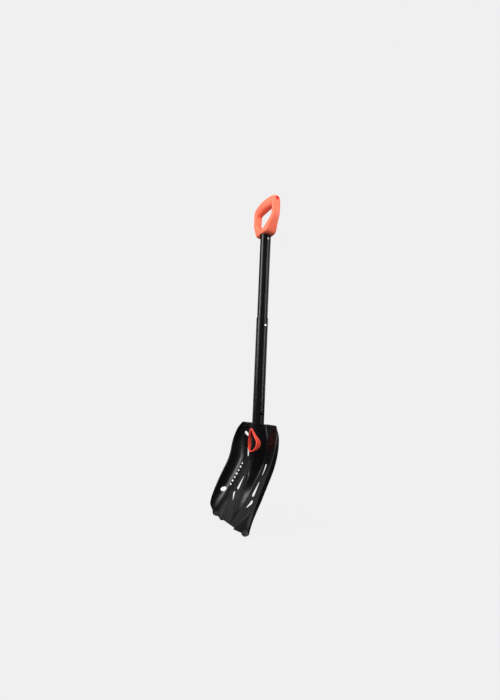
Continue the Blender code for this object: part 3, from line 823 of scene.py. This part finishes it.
def tube_mesh(name, half_a, half_b, foot, top):
    """An oval tube with eased edges."""
    ease = 0.3 * MM
    profile = (
        (ease, foot), (0, foot + ease), (0, top - ease), (ease, top),
        (TUBE_WALL - ease, top), (TUBE_WALL, top - ease), (TUBE_WALL, foot + ease), (TUBE_WALL - ease, foot),
    )
    rows = []
    for inward, z in profile:
        a, b = half_a - inward, half_b - inward
        turns = [2 * math.pi * k / TUBE_SIDES for k in range(TUBE_SIDES)]
        rows.append([(a * math.cos(t), SHAFT_Y + b * math.sin(t), z) for t in turns])
    return grid_mesh(name, rows, wrap_rows=True, wrap_columns=True)


def side_hole(name, z, radius=BUTTON_HOLE_R, reach=(5 * MM, 30 * MM)):
    return rod(name, radius, (reach[0], SHAFT_Y, z), (reach[1], SHAFT_Y, z))


def make_tubes():
    holes = [side_hole("button_hole", TELESCOPE_Z), side_hole("collapsed_hole", TELESCOPE_Z - TRAVEL)]
    back = (0, SHAFT_Y + 5 * MM, BLADE_LOCK_Z), (0, SHAFT_Y + 30 * MM, BLADE_LOCK_Z)
    holes.append(rod("lock_hole", BUTTON_HOLE_R, *back))
    mesh = cut(tube_mesh("lower_shaft_tube", LOWER_A, LOWER_B, LOWER_FOOT, LOWER_TOP), holes)
    piece("lower_shaft_tube", mesh, LOOKS["tube"], "lower_shaft", "lower_tube")
    holes = [side_hole("inner_button_hole", TELESCOPE_Z)]
    holes.append(side_hole("grip_rivet_hole", GRIP_RIVET_Z, GRIP_RIVET_R + GAP, (-30 * MM, 30 * MM)))
    mesh = cut(tube_mesh("upper_shaft_tube", UPPER_A, UPPER_B, UPPER_FOOT, UPPER_TOP), holes)
    piece("upper_shaft_tube", mesh, LOOKS["tube"], "upper_shaft", "upper_tube")


def button_profile(length):
    ease = 1.1 * MM
    profile = [(0, BUTTON_R + 1.6 * MM), (1.2 * MM, BUTTON_R + 1.6 * MM), (1.2 * MM, BUTTON_R)]
    for i in range(7):
        turn = math.pi / 2 * i / 6
        profile.append((length - ease + ease * math.sin(turn), BUTTON_R - ease + ease * math.cos(turn)))
    profile.append((length, 0.1 * MM))
    return profile


def make_buttons():
    low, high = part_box("telescope_button")
    start, end = (low.x, SHAFT_Y, TELESCOPE_Z), (high.x, SHAFT_Y, TELESCOPE_Z)
    mesh = turned("telescope_push_button", start, end, button_profile(high.x - low.x))
    piece("telescope_push_button", mesh, LOOKS["button"], "telescope_latch", "telescope_button")
    low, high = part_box("blade_lock_button")
    start, end = (0, low.y, BLADE_LOCK_Z), (0, high.y, BLADE_LOCK_Z)
    mesh = turned("blade_lock_push_button", start, end, button_profile(high.y - low.y))
    piece("blade_lock_push_button", mesh, LOOKS["button"], "blade_lock", "blade_lock_button")


# Grip -----------------------------------------------------------------------------------------------------


def rounded(corners, sides):
    """A closed outline of (x, z) points from (x, z, radius) corners, each turned into an arc."""
    points = []
    for i, (x, z, radius) in enumerate(corners):
        here = Vector((x, z))
        before = (Vector(corners[i - 1][:2]) - here).normalized()
        after = (Vector(corners[(i + 1) % len(corners)][:2]) - here).normalized()
        half = before.angle(after) / 2
        centre = here + (before + after).normalized() * (radius / math.sin(half))
        start = here + before * (radius / math.tan(half)) - centre
        end = here + after * (radius / math.tan(half)) - centre
        swing = start.angle_signed(end)
        for k in range(sides + 1):
            points.append(centre + Matrix.Rotation(-swing * k / sides, 2) @ start)
    return points


def both_halves(right):
    return list(right) + [(-x, *rest) for x, *rest in reversed(right[:-1])]


GRIP_STATIONS = 260
GRIP_SECTION = 44


def grip_rows():
    """Sections of the D frame, evenly spaced round the hand hole."""
    sides = 10
    outer = rounded([(x * MM, z * MM, r * MM) for x, z, r in both_halves(GRIP_OUTER)], sides)
    hand = rounded([(x * MM, z * MM, r * MM) for x, z, r in both_halves(GRIP_HAND)], sides)
    corners = both_halves([(0, *pair) for pair in zip(GRIP_DEPTHS, GRIP_SQUARE)])
    stations = []
    for station, (out, hole) in enumerate(zip(outer, hand)):
        _, depth, square = corners[station // (sides + 1)]
        # depth and squareness are scaled down so that they don't change the spacing
        stations.append((*out, *hole, depth * MM * 0.3, square * MM * 0.3))
    stations.append(stations[0])
    stations = resample(stations, GRIP_STATIONS + 1)[:-1]
    stations = softened(stations, 3.5, wrap=True)
    rows = []
    for ox, oz, hx, hz, depth, square in stations:
        depth, square = depth / 0.3, square / 0.3 / MM
        centre, reach = Vector(((ox + hx) / 2, (oz + hz) / 2)), Vector(((ox - hx) / 2, (oz - hz) / 2))
        row = []
        for k in range(GRIP_SECTION):
            turn = 2 * math.pi * k / GRIP_SECTION
            c, s = math.cos(turn), math.sin(turn)
            u = math.copysign(abs(c) ** (2 / square), c)
            v = math.copysign(abs(s) ** (2 / square), s)
            spot = centre + reach * u
            row.append((spot.x, SHAFT_Y + depth * v, spot.y))
        rows.append(row)
    return rows


def make_grip():
    mesh = grid_mesh("grip_frame", grip_rows(), wrap_rows=True, wrap_columns=True)
    cutters = [oval_prism("recess", RECESS_A, RECESS_B, GRIP_FOOT - 5 * MM, GRIP_FOOT + RECESS)]
    for side, word in SIDES:
        foot, beyond = side * (END_FACE - END_HOLE_DEPTH), side * (END_FACE + 5 * MM)
        start, end = (foot, SHAFT_Y, END_HOLE_Z), (beyond, SHAFT_Y, END_HOLE_Z)
        cutters.append(rod(f"end_hole_{word}", END_HOLE_R, start, end))
    mesh = cut(mesh, cutters)
    piece("grip_frame", mesh, LOOKS["grip"], "upper_shaft", "grip")
    tang_a, tang_b = UPPER_A - TUBE_WALL - GAP, UPPER_B - TUBE_WALL - GAP
    foot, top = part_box("grip")[0].z, GRIP_FOOT + RECESS + 1 * MM
    left, right = (-30 * MM, SHAFT_Y, GRIP_RIVET_Z), (30 * MM, SHAFT_Y, GRIP_RIVET_Z)
    bore = rod("tang_bore", GRIP_RIVET_R + GAP, left, right)
    mesh = cut(oval_prism("grip_tang", tang_a, tang_b, foot, top), [bore])
    piece("grip_tang", mesh, LOOKS["grip"], "upper_shaft")
    for side, word in SIDES:
        seat, face = side * (END_FACE - END_HOLE_DEPTH + GAP), side * (END_FACE - END_PLUG_SUNK)
        radius, ease = END_HOLE_R - GAP, 0.5 * MM
        length = abs(face - seat)
        profile = (
            (0, radius),
            (length - ease, radius),
            (length - ease * 0.3, radius - ease * 0.3),
            (length, radius - ease),
        )
        start, end = (seat, SHAFT_Y, END_HOLE_Z), (face, SHAFT_Y, END_HOLE_Z)
        mesh = turned(f"grip_disc_{word}", start, end, profile)
        node = f"grip_end_plug_{word}"
        piece(f"grip_disc_{word}", mesh, LOOKS["disc"], "upper_shaft", node)
    reach = UPPER_A - 0.1 * MM
    crown = 1.0 * MM
    profile = []
    for i in range(7):
        turn = math.pi / 2 * i / 6
        profile.append((crown * (1 - math.cos(turn)), max(0.05 * MM, GRIP_RIVET_R * math.sin(turn))))
    length = 2 * reach + 2 * crown * 0.6
    profile += [(length - a, r) for a, r in reversed(profile)]
    start, end = (-length / 2, SHAFT_Y, GRIP_RIVET_Z), (length / 2, SHAFT_Y, GRIP_RIVET_Z)
    mesh = turned("grip_cross_rivet", start, end, profile)
    piece("grip_cross_rivet", mesh, LOOKS["button"], "upper_shaft", "grip_rivet")


# Stage ----------------------------------------------------------------------------------------------------

BACKDROP = 0.871  # brightness of the plain pale surroundings
CAMERA_AZIMUTH, CAMERA_PITCH, CAMERA_ROLL = math.radians(59.0), math.radians(3.60), math.radians(2.33)
CAMERA_DISTANCE, CAMERA_Z = 1.024, 0.3335
CAMERA_LENS, CAMERA_SHIFT = 18.01, (-0.014, 0.0449)


def around(azimuth, distance, height):
    """A point at that azimuth round the shaft: 0 is in front of the blade, 90 is +X."""
    turn = math.radians(azimuth)
    return Vector((distance * math.sin(turn), SHAFT_Y - distance * math.cos(turn), height))


def make_camera():
    camera = bpy.data.cameras.new("camera")
    camera.sensor_width = 36
    camera.lens = CAMERA_LENS
    camera.shift_x, camera.shift_y = CAMERA_SHIFT
    camera.clip_start = 0.01
    obj = bpy.data.objects.new("camera", camera)
    bpy.context.scene.collection.objects.link(obj)
    az, pitch, roll = CAMERA_AZIMUTH, CAMERA_PITCH, CAMERA_ROLL
    forward = Vector((-math.sin(az) * math.cos(pitch), math.cos(az) * math.cos(pitch), math.sin(pitch)))
    right = Vector((math.cos(az), math.sin(az), 0))
    up = right.cross(forward)
    tilted_right = right * math.cos(roll) + up * math.sin(roll)
    tilted_up = up * math.cos(roll) - right * math.sin(roll)
    place = Matrix((tilted_right, tilted_up, -forward)).transposed().to_4x4()
    place.translation = around(math.degrees(az), CAMERA_DISTANCE, CAMERA_Z)
    obj.matrix_world = place
    bpy.context.scene.camera = obj


def area_light(name, azimuth, distance, height, size, brightness, aim=(0, SHAFT_Y, 0.45), colour=(1, 1, 1)):
    """A softbox; brightness is the radiance of its face."""
    light = bpy.data.lights.new(name, "AREA")
    light.shape = "RECTANGLE"
    light.size, light.size_y = size
    light.energy = brightness * math.pi * size[0] * size[1]
    light.color = colour
    obj = bpy.data.objects.new(name, light)
    bpy.context.scene.collection.objects.link(obj)
    obj.location = around(azimuth, distance, height)
    obj.rotation_euler = (Vector(aim) - obj.location).to_track_quat("-Z", "Y").to_euler()
    obj.visible_camera = False
    return obj


def fill_light(name, azimuth, height, size, brightness):
    """Soft light for the matt colours only: it doesn't show as a reflection."""
    light = area_light(name, azimuth, 1.9, height, size, brightness)
    light.visible_glossy = False


def make_lights():
    area_light("key", -6, 1.7, 1.25, (0.7, 1.2), 9.0, aim=(0, SHAFT_Y, 0.7))
    area_light("left", -70, 1.7, 0.5, (0.7, 0.9), 0.8)
    area_light("back_right", 126, 1.6, 1.0, (0.45, 1.5), 5.0)
    overhead = area_light("overhead", 60, 0.2, 2.1, (1.2, 1.2), 3.0)
    overhead.rotation_euler = (0, 0, 0)
    area_light("back", 200, 1.8, 1.0, (0.9, 1.2), 1.6)
    fill_light("fill_front", 55, 0.9, (2.2, 2.2), 2.4)
    fill_light("fill_left", -35, 0.9, (1.8, 2.0), 1.6)
    fill_light("fill_right", 140, 0.9, (1.8, 2.0), 1.4)
    fill_light("fill_back", 230, 0.9, (1.8, 2.0), 1.2)


def make_world():
    world = bpy.data.worlds.new("studio")
    bpy.context.scene.world = world
    world.use_nodes = True
    tree = world.node_tree
    shown = tree.nodes["Background"]
    shown.inputs["Color"].default_value = (BACKDROP, BACKDROP, BACKDROP, 1)
    dim = tree.nodes.new("ShaderNodeBackground")
    dim.inputs["Color"].default_value = (1, 1, 1, 1)
    dim.inputs["Strength"].default_value = 0.04
    path = tree.nodes.new("ShaderNodeLightPath")
    mixed = tree.nodes.new("ShaderNodeMixShader")
    tree.links.new(path.outputs["Is Camera Ray"], mixed.inputs["Fac"])
    tree.links.new(dim.outputs[0], mixed.inputs[1])
    tree.links.new(shown.outputs[0], mixed.inputs[2])
    tree.links.new(mixed.outputs[0], tree.nodes["World Output"].inputs["Surface"])


def make_floor():
    half = 6.0
    mesh = grid_mesh("floor", [[(x, y, 0) for x in (-half, 0, half)] for y in (-half, 0, half)])
    if mesh.polygons[0].normal.z < 0:
        mesh.flip_normals()
    floor = bpy.data.objects.new("floor", mesh)
    bpy.context.scene.collection.objects.link(floor)
    made = bpy.data.materials.new("floor_look")
    made.use_nodes = True
    tree = made.node_tree
    tree.nodes.remove(tree.nodes["Principled BSDF"])
    glow = tree.nodes.new("ShaderNodeEmission")
    glow.inputs["Color"].default_value = (BACKDROP, BACKDROP, BACKDROP, 1)
    matte = tree.nodes.new("ShaderNodeBsdfDiffuse")
    matte.inputs["Color"].default_value = (0.8, 0.8, 0.8, 1)
    place = tree.nodes.new("ShaderNodeNewGeometry")
    away = tree.nodes.new("ShaderNodeVectorMath")
    away.operation = "LENGTH"
    tree.links.new(place.outputs["Position"], away.inputs[0])
    fade = tree.nodes.new("ShaderNodeMapRange")
    fade.interpolation_type = "SMOOTHSTEP"
    fade.inputs["From Min"].default_value = 0.15
    fade.inputs["From Max"].default_value = 0.75
    fade.inputs["To Min"].default_value = 0.03
    fade.inputs["To Max"].default_value = 0.0
    tree.links.new(away.outputs["Value"], fade.inputs["Value"])
    mixed = tree.nodes.new("ShaderNodeMixShader")
    tree.links.new(fade.outputs["Result"], mixed.inputs["Fac"])
    tree.links.new(glow.outputs[0], mixed.inputs[1])
    tree.links.new(matte.outputs[0], mixed.inputs[2])
    tree.links.new(mixed.outputs[0], tree.nodes["Material Output"].inputs["Surface"])
    mesh.materials.append(made)
    floor.visible_glossy = False
    floor.visible_diffuse = False


def finish_inner_nodes():
    """CAD nodes that stay as they are get their finished materials."""
    kept = {
        "lower_tube_end_plug": LOOKS["plug"],
        "upper_tube_end_plug": LOOKS["plug"],
        "telescope_leaf_spring": LOOKS["leaf"],
        "blade_lock_leaf_spring": LOOKS["leaf"],
    }
    for name, look in kept.items():
        node = frame["nodes"][name]
        if not node.material_slots:
            node.data.materials.append(look)
        for slot in node.material_slots:
            slot.material = look


LOOKS = {
    "blade": anodised("blade_look"),
    "plate": anodised("plate_look", rough=(0.38, 0.48)),
    "rivet": anodised("rivet_look", rough=(0.25, 0.35)),
    "tube": anodised("tube_look", grain=(1, 1, 0.05)),
    "grip": coral("grip_look"),
    "collar": coral("collar_look", light=(1.0, 0.12, 0.075), dark=(0.94, 0.08, 0.05), rough=(0.34, 0.46)),
    "disc": coral("disc_look", light=(1.0, 0.045, 0.055), dark=(0.95, 0.035, 0.045)),
    "plug": black_plastic(),
    "button": steel("button_look", (1, 1, 1)),
    "leaf": steel("leaf_look", (1, 1, 0.05), (0.5, 0.5, 0.5), (0.36, 0.36, 0.36)),
    "ink": paint(),
}

make_blade()
make_marks()
make_collar()
make_socket_plate()
make_blade_rivets()
make_tubes()
make_buttons()
make_grip()
finish_inner_nodes()
make_floor()
make_world()
make_lights()
make_camera()
bpy.context.scene.view_settings.view_transform = "Standard"
